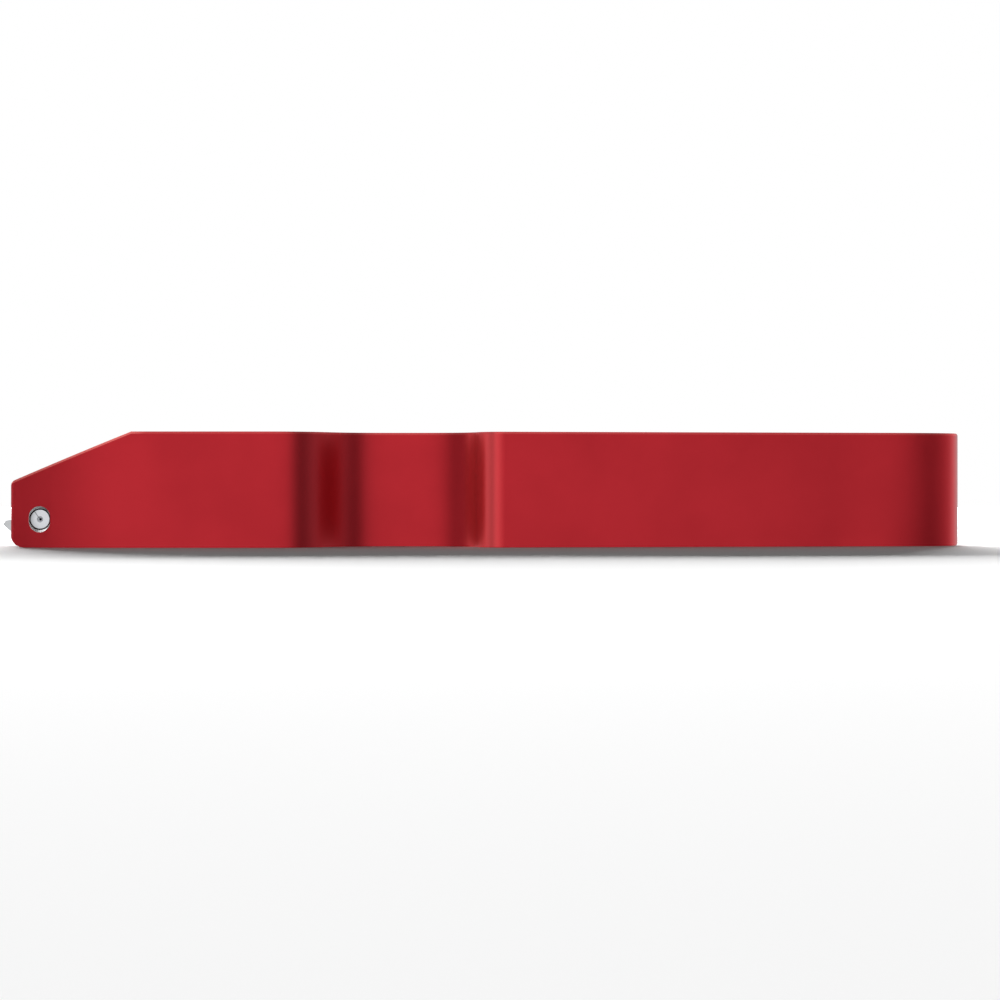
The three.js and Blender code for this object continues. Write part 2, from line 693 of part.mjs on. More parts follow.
function lockScrewSolid() {
  const rim = toothedOutline(LOCK_HEAD_RADIUS, KNOB_TOOTH_DEPTH, LOCK_TEETH);
  const reach = LOCK_HEAD_RADIUS + BEYOND;
  return cut(
    join(
      plateZ(rim, [LOCK_HEAD_LOW, LOCK_HEAD_TOP], 0.3),
      roundZ(LOCK_STEM, 0, 0, [LOCK_STEM_LOW, LOCK_HEAD_LOW + BEYOND]),
    ),
    box([-COIN_SLOT_HALF, COIN_SLOT_HALF], [-reach, reach],
      [LOCK_HEAD_TOP - COIN_SLOT_DEPTH, LOCK_HEAD_TOP + BEYOND]),
  );
}

function lockPad() {
  const low = PLATE_TOP + GAP;
  const top = LOCK_STEM_LOW - GAP;
  return turned([[0, low], [LOCK_PAD_RADIUS - 0.3, low], [LOCK_PAD_RADIUS, low + 0.3],
    [LOCK_PAD_RADIUS, top], [0, top]], LOCK_X, 0, 24);
}

place('lock_screw', toGeometry(lockScrewSolid()), blackAnodised).position.x = LOCK_X;
place('lock_washer', ringZ(LOCK_STEM + 0.4, 6.2, LOCK_X, [LOCK_WASHER_LOW, LOCK_WASHER_TOP]), stainless);
place('lock_bush', ringZ(LOCK_STEM + GAP, LOCK_BORE - GAP, LOCK_X, [LOCK_BUSH_LOW, LOCK_BUSH_TOP]), bronze);
place('lock_pad', lockPad(), nylon);

export default tool;
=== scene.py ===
"""Looks of the ski edge tuning tool: fine meshes, procedural materials and studio light round the CAD frame.

Everything is in metres. MM turns the drawing's millimetres into metres.
"""
import json
import math

import bmesh
import bpy
from mathutils import Matrix, Vector
from mathutils.geometry import interpolate_bezier


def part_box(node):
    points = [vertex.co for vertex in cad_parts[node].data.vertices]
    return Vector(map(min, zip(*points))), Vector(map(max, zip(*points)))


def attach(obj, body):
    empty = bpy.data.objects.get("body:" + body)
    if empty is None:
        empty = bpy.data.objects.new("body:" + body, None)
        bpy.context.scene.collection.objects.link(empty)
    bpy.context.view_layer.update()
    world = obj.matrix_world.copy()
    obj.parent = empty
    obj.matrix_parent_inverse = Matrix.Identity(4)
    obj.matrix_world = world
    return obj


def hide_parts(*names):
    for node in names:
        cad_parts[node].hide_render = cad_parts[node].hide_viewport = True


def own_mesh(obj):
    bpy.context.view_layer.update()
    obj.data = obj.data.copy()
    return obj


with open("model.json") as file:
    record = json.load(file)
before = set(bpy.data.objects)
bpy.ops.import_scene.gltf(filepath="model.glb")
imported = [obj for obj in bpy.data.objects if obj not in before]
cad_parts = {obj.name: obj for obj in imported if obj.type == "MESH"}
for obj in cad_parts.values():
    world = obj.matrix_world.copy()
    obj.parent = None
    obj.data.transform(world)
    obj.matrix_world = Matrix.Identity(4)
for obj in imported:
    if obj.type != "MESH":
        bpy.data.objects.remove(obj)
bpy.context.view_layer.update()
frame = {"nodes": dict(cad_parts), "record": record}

MM = 0.001
BEYOND = 1.0 * MM  # how far a cutting shape runs past the face that it opens

HANDLE_LOW, HANDLE_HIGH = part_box("handle_body")
PIN_LOW, PIN_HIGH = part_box("nose_pin")
KNOB_LOW, KNOB_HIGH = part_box("depth_knob")
LOCK_LOW, LOCK_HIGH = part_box("lock_screw")
PLATE_LOW, PLATE_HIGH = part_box("guide_plate")
INSERT_LOW, INSERT_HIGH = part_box("cutter_insert")
HOLDER_LOW, HOLDER_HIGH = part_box("cutter_holder")


def middle(low, high):
    return (Vector(low) + Vector(high)) / 2


# ------------------------------------------------------------------ node helpers


def new_material(name, color, metallic, roughness):
    """A material with its shader; the constant values sit on the shader's own sockets."""
    material = bpy.data.materials.new(name)
    material.use_nodes = True
    shader = material.node_tree.nodes["Principled BSDF"]
    shader.inputs["Base Color"].default_value = (*color, 1)
    shader.inputs["Metallic"].default_value = metallic
    shader.inputs["Roughness"].default_value = roughness
    return material, material.node_tree, shader


def add_node(tree, kind, inputs=None, **values):
    node = tree.nodes.new(kind)
    for key, value in values.items():
        setattr(node, key, value)
    for key, value in (inputs or {}).items():
        if isinstance(value, bpy.types.NodeSocket):
            tree.links.new(value, node.inputs[key])
        else:
            node.inputs[key].default_value = value
    return node


def object_coords(tree, scale=(1, 1, 1)):
    """Coordinates in metres, in the frame that all pieces share, stretched by scale."""
    coords = add_node(tree, "ShaderNodeTexCoord")
    return add_node(tree, "ShaderNodeMapping", {"Vector": coords.outputs["Object"], "Scale": scale}).outputs[0]


def noise(tree, vector, scale, detail=2.0, roughness=0.5):
    inputs = {"Vector": vector, "Scale": scale, "Detail": detail, "Roughness": roughness}
    return add_node(tree, "ShaderNodeTexNoise", inputs).outputs["Fac"]


def ramp(tree, fac, low, high, out_low, out_high):
    inputs = {"Value": fac, "From Min": low, "From Max": high, "To Min": out_low, "To Max": out_high}
    return add_node(tree, "ShaderNodeMapRange", inputs).outputs["Result"]


def mixed_color(tree, fac, low, high):
    """low where fac is 0 and high where it is 1; low is a colour or the socket of one."""
    first = low if isinstance(low, bpy.types.NodeSocket) else (*low, 1)
    inputs = {"Factor": fac, 6: first, 7: (*high, 1)}
    return add_node(tree, "ShaderNodeMix", inputs, data_type="RGBA").outputs[2]


def bumped(tree, shader, height, distance, strength=1.0):
    inputs = {"Height": height, "Distance": distance, "Strength": strength}
    node = add_node(tree, "ShaderNodeBump", inputs)
    tree.links.new(node.outputs["Normal"], shader.inputs["Normal"])
    return node


# ------------------------------------------------------------------ materials

NOSE_X, TAIL_X = HANDLE_LOW[0], HANDLE_HIGH[0]
SLOPE_TOP_X = -72.2 * MM
SLOPE_LOW_Z = 13.1 * MM
RED_ROUGHNESS = 0.31
# Painted light and shade in the red, placed by position: a painted highlight on the grip's crest, painted shade at
# the front of the finger notch and a painted highlight strip under the slanted and top faces. Each span along X is
# where it starts, is full, is still full and ends; each span across is where it starts and is full, counted from the
# plane of symmetry.
# Painted highlight on the grip's crest.
CREST_HIGHLIGHT_RED = (0.88, 0.08, 0.09)
CREST_ALONG = (-8 * MM, -3.4 * MM, -0.9 * MM, 2.6 * MM)
CREST_ACROSS = (12.5 * MM, 14 * MM)
# Painted shade at the front of the finger notch.
NOTCH_SHADE_RED = (0.34, 0.012, 0.019)
NOTCH_ALONG = (-42 * MM, -37 * MM, -34 * MM, -22 * MM)
NOTCH_ACROSS = (9.5 * MM, 10.5 * MM)
# Painted highlight strip where a chamfer would catch light.
RIM_HIGHLIGHT_RED = (0.74, 0.14, 0.13)
RIM_END, RIM_FULL = 0.52 * MM, 0.34 * MM  # depths under the slanted face
LEVEL_RIM_SHARE = 0.3


def smooth_step(tree, value, start, end):
    node = add_node(tree, "ShaderNodeMapRange", {"Value": value, "From Min": start, "From Max": end},
                    interpolation_type="SMOOTHSTEP")
    return node.outputs["Result"]


def times(tree, one, two):
    return add_node(tree, "ShaderNodeMath", {0: one, 1: two}, operation="MULTIPLY").outputs[0]


def along(tree, start, full, level, end):
    """1 along X between full and level, fading to 0 at start and end."""
    split = add_node(tree, "ShaderNodeSeparateXYZ", {"Vector": object_coords(tree)})
    rising = smooth_step(tree, split.outputs[0], start, full)
    return times(tree, rising, smooth_step(tree, split.outputs[0], end, level))


def upright(tree):
    """1 on walls, 0 on faces that look up or down."""
    geometry = add_node(tree, "ShaderNodeNewGeometry")
    facing = add_node(tree, "ShaderNodeSeparateXYZ", {"Vector": geometry.outputs["True Normal"]})
    lift = add_node(tree, "ShaderNodeMath", {0: facing.outputs[2]}, operation="ABSOLUTE")
    return smooth_step(tree, lift.outputs[0], 0.2, 0.1)


def side_only(tree, start, full):
    """1 on the outer side walls, 0 towards the handle's middle and on level faces."""
    split = add_node(tree, "ShaderNodeSeparateXYZ", {"Vector": object_coords(tree)})
    across = add_node(tree, "ShaderNodeMath", {0: split.outputs[1]}, operation="ABSOLUTE")
    return times(tree, smooth_step(tree, across.outputs[0], start, full), upright(tree))


def slope_only(tree):
    """Full along the slanted edge, a third along the level top edge, 0 on faces that look up."""
    split = add_node(tree, "ShaderNodeSeparateXYZ", {"Vector": object_coords(tree)})
    front = ramp(tree, split.outputs[0], SLOPE_TOP_X, SLOPE_TOP_X + 3 * MM, 1.0, LEVEL_RIM_SHARE)
    return times(tree, front, upright(tree))


def crest_painted_highlight(tree):
    """1 on the side walls at the grip's shoulder and the slope up to it, 0 elsewhere: where the painted highlight
    goes.
    """
    return times(tree, along(tree, *CREST_ALONG), side_only(tree, *CREST_ACROSS))


def notch_painted_shade(tree):
    """1 on the side walls at the front of the finger notch, 0 elsewhere: where the painted shade goes."""
    return times(tree, along(tree, *NOTCH_ALONG), side_only(tree, *NOTCH_ACROSS))


def rim_painted_highlight(tree):
    """1 in a narrow strip under the slanted and top faces, 0 below it: a painted highlight where a chamfer would
    catch light. It is drawn, not cut.
    """
    split = add_node(tree, "ShaderNodeSeparateXYZ", {"Vector": object_coords(tree)})
    steepness = (HANDLE_HIGH[2] - SLOPE_LOW_Z) / (SLOPE_TOP_X - NOSE_X)
    plane = add_node(tree, "ShaderNodeMath", {0: split.outputs[0], 1: steepness,
                                              2: SLOPE_LOW_Z - NOSE_X * steepness}, operation="MULTIPLY_ADD")
    plane = add_node(tree, "ShaderNodeMath", {0: plane.outputs[0], 1: HANDLE_HIGH[2]}, operation="MINIMUM")
    under = add_node(tree, "ShaderNodeMath", {0: plane.outputs[0], 1: split.outputs[2]}, operation="SUBTRACT")
    return smooth_step(tree, under.outputs[0], RIM_END, RIM_FULL)


def red_anodised():
    """Satin red anodised aluminium: fine grain, a faint cloudiness and painted light placed by position: painted
    highlights on the grip's crest and along the slanted edge, painted shade at the front of the finger notch.
    """
    deep, main = (0.42, 0.010, 0.018), (0.47, 0.013, 0.022)
    material, tree, shader = new_material("red_anodised", main, 0.75, RED_ROUGHNESS)
    coords = object_coords(tree)
    cloud = noise(tree, coords, 55, 3)
    grain = noise(tree, coords, 5200, 2, 0.6)
    dye = mixed_color(tree, ramp(tree, cloud, 0.35, 0.65, 0, 1), deep, main)
    # Painted shade at the front of the finger notch.
    tint = mixed_color(tree, notch_painted_shade(tree), dye, NOTCH_SHADE_RED)
    # Painted highlight on the grip's crest.
    tint = mixed_color(tree, crest_painted_highlight(tree), tint, CREST_HIGHLIGHT_RED)
    # Painted highlight strip under the slanted and top faces, where a chamfer would catch light.
    tint = mixed_color(tree, times(tree, rim_painted_highlight(tree), slope_only(tree)), tint, RIM_HIGHLIGHT_RED)
    tree.links.new(tint, shader.inputs["Base Color"])
    rough = ramp(tree, grain, 0.2, 0.8, RED_ROUGHNESS - 0.04, RED_ROUGHNESS + 0.04)
    tree.links.new(rough, shader.inputs["Roughness"])
    bumped(tree, shader, grain, 0.004 * MM, 0.5)
    return material


def brushed(name, color, roughness, stretch, lines=900):
    """Bare metal with fine grinding lines along the short axis of stretch."""
    material, tree, shader = new_material(name, color, 1.0, roughness)
    lay = noise(tree, object_coords(tree, stretch), lines, 4, 0.7)
    cloud = noise(tree, object_coords(tree), 160, 3)
    tone = mixed_color(tree, lay, tuple(part * 0.82 for part in color), color)
    tree.links.new(tone, shader.inputs["Base Color"])
    rough = ramp(tree, times(tree, lay, cloud), 0.1, 0.4, roughness * 0.7, roughness * 1.35)
    tree.links.new(rough, shader.inputs["Roughness"])
    bumped(tree, shader, lay, 0.003 * MM, 0.4)
    return material


def black_anodised():
    material, tree, shader = new_material("black_anodised", (0.022, 0.022, 0.025), 0.9, 0.4)
    grain = noise(tree, object_coords(tree), 4200, 2, 0.6)
    cloud = noise(tree, object_coords(tree), 130, 3)
    tone = mixed_color(tree, cloud, (0.016, 0.016, 0.018), (0.034, 0.034, 0.038))
    tree.links.new(tone, shader.inputs["Base Color"])
    tree.links.new(ramp(tree, grain, 0.2, 0.8, 0.32, 0.48), shader.inputs["Roughness"])
    bumped(tree, shader, grain, 0.004 * MM, 0.5)
    return material


def nylon():
    material, tree, shader = new_material("nylon", (0.02, 0.021, 0.024), 0.0, 0.55)
    grain = noise(tree, object_coords(tree), 2600, 3)
    tree.links.new(ramp(tree, grain, 0.2, 0.8, 0.45, 0.65), shader.inputs["Roughness"])
    bumped(tree, shader, grain, 0.01 * MM, 0.5)
    return material


def edge_red_painted_highlight():
    """The red of the broken edges, paler and glossier than the walls. The rounds and the gloss catch real light; the
    paler colour is painted highlight on top.
    """
    material, tree, shader = new_material("red_edge", (0.56, 0.06, 0.075), 0.8, 0.24)
    grain = noise(tree, object_coords(tree), 2400, 2, 0.6)
    tone = mixed_color(tree, ramp(tree, grain, 0.3, 0.7, 0, 1), (0.5, 0.04, 0.055), (0.62, 0.085, 0.1))
    tree.links.new(tone, shader.inputs["Base Color"])
    tree.links.new(ramp(tree, grain, 0.2, 0.8, 0.2, 0.3), shader.inputs["Roughness"])
    return material


MATERIALS = {
    "red_anodised": red_anodised(),
    "red_edge": edge_red_painted_highlight(),
    "bare_aluminium": brushed("bare_aluminium", (0.86, 0.86, 0.87), 0.2, (1, 1, 1), 2400),
    "spring_steel": brushed("spring_steel", (0.6, 0.61, 0.64), 0.26, (1, 1, 1), 1500),
    "tool_steel": brushed("tool_steel", (0.17, 0.18, 0.19), 0.34, (0.2, 1, 1)),
    "carbide": brushed("carbide", (0.5, 0.51, 0.52), 0.3, (1, 0.3, 1), 1800),
    "zinc_steel": brushed("zinc_steel", (0.56, 0.58, 0.62), 0.28, (1, 1, 1), 1200),
    "stainless": brushed("stainless", (0.62, 0.61, 0.6), 0.27, (0.06, 1, 1), 1400),
    "black_anodised": black_anodised(),
    "bronze": brushed("bronze", (0.5, 0.33, 0.14), 0.3, (1, 1, 0.3)),
    "nylon": nylon(),
}


# ------------------------------------------------------------------ mesh helpers


def link(name, mesh):
    piece = bpy.data.objects.new(name, mesh)
    bpy.context.scene.collection.objects.link(piece)
    return piece


def prism(name, outline, low, high, axis="Z"):
    """A closed outline extruded from low to high along Z, or along Y with the outline in XZ."""
    build = bmesh.new()
    ends = []
    for level in (low, high):
        if axis == "Z":
            corners = [(x, y, level) for x, y in outline]
        else:
            corners = [(x, level, z) for x, z in outline]
        ends.append([build.verts.new(corner) for corner in corners])
    first, second = ends
    count = len(outline)
    build.faces.new(first)
    build.faces.new(second)
    for index in range(count):
        after = (index + 1) % count
        build.faces.new((first[index], first[after], second[after], second[index]))
    return finished_mesh(name, build)


def turned(name, profile, centre, axis="Z", segments=96):
    """A solid turned about an axis through centre, from (radius, height) pairs measured from centre."""
    build = bmesh.new()
    rings = []
    for radius, height in profile:
        if radius < 1e-9:
            rings.append([build.verts.new(turned_point(0, 0, height, centre, axis))])
            continue
        ring = []
        for step in range(segments):
            angle = step / segments * math.tau
            ring.append(build.verts.new(turned_point(radius, angle, height, centre, axis)))
        rings.append(ring)
    closed = len(rings[0]) > 1
    pairs = list(zip(rings, rings[1:] + rings[:1])) if closed else list(zip(rings, rings[1:]))
    for one, two in pairs:
        for step in range(segments):
            after = (step + 1) % segments
            if len(one) == 1 and len(two) == 1:
                continue
            if len(one) == 1:
                build.faces.new((one[0], two[after], two[step]))
            elif len(two) == 1:
                build.faces.new((one[step], one[after], two[0]))
            else:
                build.faces.new((one[step], one[after], two[after], two[step]))
    return finished_mesh(name, build)


def turned_point(radius, angle, height, centre, axis):
    u, v = radius * math.cos(angle), radius * math.sin(angle)
    offset = {"X": (height, u, v), "Y": (u, height, v), "Z": (u, v, height)}[axis]
    return Vector(centre) + Vector(offset)


def block(name, x, y, z):
    return prism(name, [(x[0], y[0]), (x[1], y[0]), (x[1], y[1]), (x[0], y[1])], z[0], z[1])


def finished_mesh(name, build):
    bmesh.ops.remove_doubles(build, verts=build.verts, dist=1e-8)
    bmesh.ops.recalc_face_normals(build, faces=build.faces)
    mesh = bpy.data.meshes.new(name)
    build.to_mesh(mesh)
    build.free()
    return link(name, mesh)


def apply_modifiers(piece):
    depsgraph = bpy.context.evaluated_depsgraph_get()
    mesh = bpy.data.meshes.new_from_object(piece.evaluated_get(depsgraph))
    piece.modifiers.clear()
    piece.data = mesh


def combine(piece, tools, operation="DIFFERENCE"):
    """Cuts piece with each tool, or joins or crosses them, and removes the tools."""
    for tool in tools:
        modifier = piece.modifiers.new(operation.lower(), "BOOLEAN")
        modifier.operation = operation
        modifier.solver = "EXACT"
        modifier.object = tool
        apply_modifiers(piece)
        bpy.data.objects.remove(tool)
    return piece


def soften(piece, width, segments=3, angle=30, edge_material=-1):
    """Rounds the edges sharper than angle, and shades the rest smooth. The rounds can have their own material."""
    build = bmesh.new()
    build.from_mesh(piece.data)
    bmesh.ops.remove_doubles(build, verts=build.verts, dist=1e-7)
    bmesh.ops.dissolve_degenerate(build, edges=build.edges, dist=1e-7)
    build.to_mesh(piece.data)
    build.free()
    modifier = piece.modifiers.new("edges", "BEVEL")
    modifier.width = width
    modifier.segments = segments
    modifier.limit_method = "ANGLE"
    modifier.angle_limit = math.radians(angle)
    modifier.miter_outer = "MITER_ARC"
    modifier.use_clamp_overlap = True
    modifier.material = edge_material
    apply_modifiers(piece)
    shade(piece)
    return piece


FLAT_SLOT = 2


def shade(piece, angle=35):
    piece.data.shade_smooth()
    for face in piece.data.polygons:
        if face.material_index == FLAT_SLOT:
            face.use_smooth = False
    piece.data.set_sharp_from_angle(angle=math.radians(angle))
    modifier = piece.modifiers.new("normals", "WEIGHTED_NORMAL")
    modifier.keep_sharp = True
    modifier.weight = 80
    apply_modifiers(piece)


def dress(piece, node, material_slot, body, bevel=None, segments=3, angle=30, extra=()):
    """Rounds a piece's edges, gives it its material and lets it stand for its CAD node.

    extra names more materials: the first is for the rounded edges.
    """
    piece.data.materials.clear()
    for name in (material_slot, *extra):
        piece.data.materials.append(MATERIALS[name])
    if bevel:
        soften(piece, bevel, segments, angle, 1 if extra else -1)
    else:
        shade(piece)
    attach(piece, body)
    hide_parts(node)
    return piece


def arc_corner(before, corner, after, radius, steps):
    """Points that round a corner of an outline."""
    corner = Vector(corner)
    back = (Vector(before) - corner).normalized()
    ahead = (Vector(after) - corner).normalized()
    half = back.angle(ahead) / 2
    centre = corner + (back + ahead).normalized() * radius / math.sin(half)
    start = corner + back * radius / math.tan(half) - centre
    end = corner + ahead * radius / math.tan(half) - centre
    sweep = math.atan2(start.x * end.y - start.y * end.x, start.dot(end))
    points = []
    for step in range(steps + 1):
        turn = sweep * step / steps
        cos, sin = math.cos(turn), math.sin(turn)
        points.append(centre + Vector((start.x * cos - start.y * sin, start.x * sin + start.y * cos)))
    return points


def rounded(corners, steps=10):
    """A closed outline from (x, y, radius) corners."""
    points = []
    for index, (x, y, radius) in enumerate(corners):
        if not radius:
            points.append(Vector((x, y)))
            continue
        before = corners[index - 1][:2]
        after = corners[(index + 1) % len(corners)][:2]
        points += arc_corner(before, (x, y), after, radius, steps)
    return [tuple(point) for point in points]


def bezier(start, control_a, control_b, end, steps):
    points = interpolate_bezier(*(Vector((*p, 0)) for p in (start, control_a, control_b, end)), steps + 1)
    return [(point.x, point.y) for point in points[1:]]


# ------------------------------------------------------------------ handle

HEIGHT = HANDLE_HIGH[2] - HANDLE_LOW[2]
HEAD_HALF = HANDLE_HIGH[1]
NOSE_HALF = HEAD_HALF - 2.7 * MM
WAIST_HALF = 10.8 * MM
PALM_HALF = 20.3 * MM
TAIL_HALF = 12.1 * MM
PIN = middle(PIN_LOW, PIN_HIGH)
KNOB = middle(KNOB_LOW, KNOB_HIGH)
LOCK = middle(LOCK_LOW, LOCK_HIGH)
EDGE = 0.5 * MM
PIN_BORE = 2.16 * MM
PIN_SPOT = 2.22 * MM
PIN_SPOT_LIFT = 0.4 * MM
PIN_SPOT_Y = 20.45 * MM
HANG_HOLE_X = 82 * MM
GUIDE_X = -80 * MM
GUIDE_Y = 13.5 * MM


def handle_side():
    """One side of the handle from above, from the middle of the nose to the middle of the grip end."""
    front, back = -76 * MM, -46 * MM
    waist_front, waist_back = -20 * MM, -15 * MM
    crest, tail = 2.5 * MM, 70 * MM
    corner = (NOSE_X + 1.2 * MM, NOSE_HALF)
    side = [(NOSE_X, 0), (NOSE_X, NOSE_HALF - 1.3 * MM)]
    side += bezier(side[-1], (NOSE_X, NOSE_HALF - 0.6 * MM), (NOSE_X + 0.4 * MM, NOSE_HALF - 0.16 * MM), corner, 10)
    ahead = (front - 9 * MM, HEAD_HALF)
    side += bezier(corner, blend_point(corner, ahead), blend_point((front, HEAD_HALF), ahead), (front, HEAD_HALF), 40)
    side += [(back, HEAD_HALF)]
    side += bezier(side[-1], (back + 16 * MM, HEAD_HALF), (waist_front - 17 * MM, WAIST_HALF),
                   (waist_front, WAIST_HALF), 60)
    side += [(waist_back, WAIST_HALF)]
    side += bezier(side[-1], (waist_back + 7 * MM, WAIST_HALF), (crest - 7.4 * MM, WAIST_HALF + 2 * MM),
                   (crest - 6 * MM, PALM_HALF - 4.4 * MM), 40)
    side += bezier(side[-1], (crest - 4.9 * MM, PALM_HALF - 1.5 * MM), (crest - 3.4 * MM, PALM_HALF + 0.4 * MM),
                   (crest, PALM_HALF), 32)
    side += [(tail, TAIL_HALF)]
    side += bezier(side[-1], (tail + 15 * MM, TAIL_HALF - 1.8 * MM), (TAIL_X, 11 * MM), (TAIL_X, 0), 64)
    return side


def blend_point(start, control):
    """The cubic control point that matches a quadratic one."""
    return tuple(a + (b - a) * 2 / 3 for a, b in zip(start, control))


def handle_blank():
    side = handle_side()
    plan = side + [(x, -y) for x, y in reversed(side[1:-1])]
    blank = prism("handle", plan, HANDLE_LOW[2], HANDLE_HIGH[2])
    profile = rounded([
        (NOSE_X, HANDLE_LOW[2], 2.8 * MM),
        (TAIL_X, HANDLE_LOW[2], 1.3 * MM),
        (TAIL_X, HANDLE_HIGH[2], 1.3 * MM),
        (SLOPE_TOP_X, HANDLE_HIGH[2], 0),
        (NOSE_X, SLOPE_LOW_Z, 1.7 * MM),
    ])
    side_cut = prism("profile", profile, -HEAD_HALF - BEYOND, HEAD_HALF + BEYOND, "Y")
    return combine(blank, [side_cut], "INTERSECT")


def pockets():
    """What is milled out of the handle before its edges are broken."""
    above = HANDLE_HIGH[2] + BEYOND
    below = HANDLE_LOW[2] - BEYOND
    front = NOSE_X - BEYOND
    slot_half, slot_top, slot_floor = 7 * MM, 10.2 * MM, 1.5 * MM
    slot_open, slot_back = -84 * MM, -74.2 * MM
    knob_floor, trough = 12.9 * MM, 6 * MM
    lock_floor, gap = 14.6 * MM, 0.3 * MM
    channel_top = PLATE_HIGH[2] + gap
    outer, inner = PLATE_HIGH[1] + gap, 9.2 * MM
    pocket_front, pocket_back = -72.4 * MM, PLATE_HIGH[0] + gap
    pocket = rounded([(pocket_front, -outer, 0), (pocket_back, -outer, 1.2 * MM),
                      (pocket_back, outer, 1.2 * MM), (pocket_front, outer, 0)])
    cutters = [
        block("slot_front", (front, slot_open), (-slot_half, slot_half), (below, slot_top)),
        block("slot_back", (slot_open - BEYOND, slot_back), (-slot_half, slot_half), (slot_floor, slot_top)),
        turned("knob_pocket", [(0, knob_floor), (8.8 * MM, knob_floor), (8.8 * MM, above), (0, above)],
               (KNOB.x, 0, 0)),
        block("trough", (front, KNOB.x), (-trough, trough), (knob_floor, above)),
        turned("bush_bore", [(0, slot_top - BEYOND), (5.3 * MM, slot_top - BEYOND), (5.3 * MM, knob_floor + BEYOND),
                             (0, knob_floor + BEYOND)], (KNOB.x, 0, 0), "Z", 64),
        prism("plate_pocket", pocket, below, channel_top),
        turned("lock_pocket", [(0, lock_floor), (7.6 * MM, lock_floor), (7.6 * MM, above), (0, above)],
               (LOCK.x, 0, 0)),
        turned("lock_bore", [(0, channel_top - BEYOND), (4.6 * MM, channel_top - BEYOND),
                             (4.6 * MM, lock_floor + BEYOND), (0, lock_floor + BEYOND)], (LOCK.x, 0, 0), "Z", 64),
    ]
    for side in (-1, 1):
        span = sorted((side * inner, side * outer))
        cutters.append(block("channel", (front, pocket_front + BEYOND), span, (below, channel_top)))
        cutters.append(turned("guide_hole", [(0, channel_top - BEYOND), (1.62 * MM, channel_top - BEYOND),
                                             (1.62 * MM, 9 * MM), (0, 9 * MM)],
                              (GUIDE_X, side * GUIDE_Y, 0), "Z", 32))
    return cutters


def bores():
    """Holes that are drilled after the edges are broken, with their own countersinks."""
    above, below = HANDLE_HIGH[2] + BEYOND, HANDLE_LOW[2] - BEYOND
    reach = HEAD_HALF + BEYOND
    tools = [
        turned("pin_bore", [(0, -reach), (PIN_BORE, -reach), (PIN_BORE, reach), (0, reach)],
               (PIN.x, 0, PIN.z), "Y", 96),
        turned("detent_bore", [(0, 8 * MM), (1.62 * MM, 8 * MM), (1.62 * MM, reach), (0, reach)],
               (KNOB.x, 0, 16.45 * MM), "Y", 48),
        turned("hang_hole", [(0, below), (6.1 * MM, below), (4.5 * MM, 0.6 * MM), (4.5 * MM, HEIGHT - 0.6 * MM),
                             (6.1 * MM, above), (0, above)], (HANG_HOLE_X, 0, 0)),
    ]
    for side in (-1, 1):
        for lift in (-PIN_SPOT_LIFT, PIN_SPOT_LIFT):
            span = sorted((side * PIN_SPOT_Y, side * reach))
            tools.append(turned("spot", [(0, span[0]), (PIN_SPOT, span[0]), (PIN_SPOT, span[1]), (0, span[1])],
                                (PIN.x, 0, PIN.z + lift), "Y", 96))
    return tools


def finish_faces(mesh):
    """Leaning faces at the rims take the paler red, whose paleness is painted highlight, and the spot faces round the
    nose pin bare metal.
    """
    for face in mesh.polygons:
        if abs(face.normal.y) > 0.25 and 0.15 < abs(face.normal.z) < 0.9:
            face.material_index = 1
        corners = [mesh.vertices[corner].co for corner in face.vertices]
        away = max(math.hypot(corner.x - PIN.x, corner.z - PIN.z) for corner in corners)
        if away < PIN_SPOT + PIN_SPOT_LIFT + 0.1 * MM and abs(face.center.y) > PIN_SPOT_Y - 0.1 * MM:
            face.material_index = FLAT_SLOT


handle = combine(soften(handle_blank(), EDGE, 3, 32), pockets())
dress(handle, "handle_body", "red_anodised", "handle", 0.2 * MM, 2, 40, ("red_edge", "bare_aluminium"))
combine(handle, bores())
# The bevel's stored normals no longer fit round the bores, so they are cleared before the faces are shaded.
handle.data.normals_split_custom_set([(0, 0, 0)] * len(handle.data.loops))
finish_faces(handle.data)
shade(handle)


# ------------------------------------------------------------------ nose pin


def spring_pin():
    """A rolled pin: chamfered ends, a narrow bore and a thin slit."""
    outer, chamfer, bore, slit, dimple = 2 * MM, 0.16 * MM, 0.22 * MM, 0.05 * MM, 0.42 * MM
    low, high = PIN_LOW[1], PIN_HIGH[1]
    centre = (PIN.x, 0, PIN.z)
    body = turned("spring_pin", [
        (0, low), (outer - 1.5 * chamfer, low), (outer - 0.6 * chamfer, low + 0.3 * chamfer),
        (outer, low + 1.3 * chamfer), (outer, high - 1.3 * chamfer), (outer - 0.6 * chamfer, high - 0.3 * chamfer),
        (outer - 1.5 * chamfer, high), (0, high),
    ], centre, "Y")
    hole = turned("pin_hole", [
        (0, low - BEYOND), (bore + dimple, low - BEYOND), (bore + dimple, low - 0.01 * MM),
        (bore, low + dimple), (bore, high - dimple), (bore + dimple, high + 0.01 * MM),
        (bore + dimple, high + BEYOND), (0, high + BEYOND),
    ], centre, "Y", 48)
    gap = block("pin_slit", (0, outer + BEYOND), (low - BEYOND, high + BEYOND), (-slit, slit))
    gap.data.transform(Matrix.Translation(centre) @ Matrix.Rotation(math.radians(-125), 4, "Y"))
    return combine(body, [hole, gap])


dress(spring_pin(), "nose_pin", "spring_steel", "handle")


# ------------------------------------------------------------------ rocker and cutter

ROCKER_HALF = HOLDER_HIGH[1]
CUTTER_TIP_X = INSERT_LOW[0]
CUTTER_BACK_X = INSERT_HIGH[0]
CUTTER_FOOT, CUTTER_TOP = INSERT_LOW[2], INSERT_HIGH[2]
CUTTER_SCREW = middle(*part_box("cutter_screw"))
ARM_LOW, ARM_TOP = 3.2 * MM, 7.3 * MM
SMALL_CHAMFER = 0.2 * MM


def hex_tool(name, across, centre, low, high, axis="Z"):
    """The cutter for a hexagon socket."""
    return turned(name, [(0, low), (across, low), (across, high), (0, high)], centre, axis, 6)


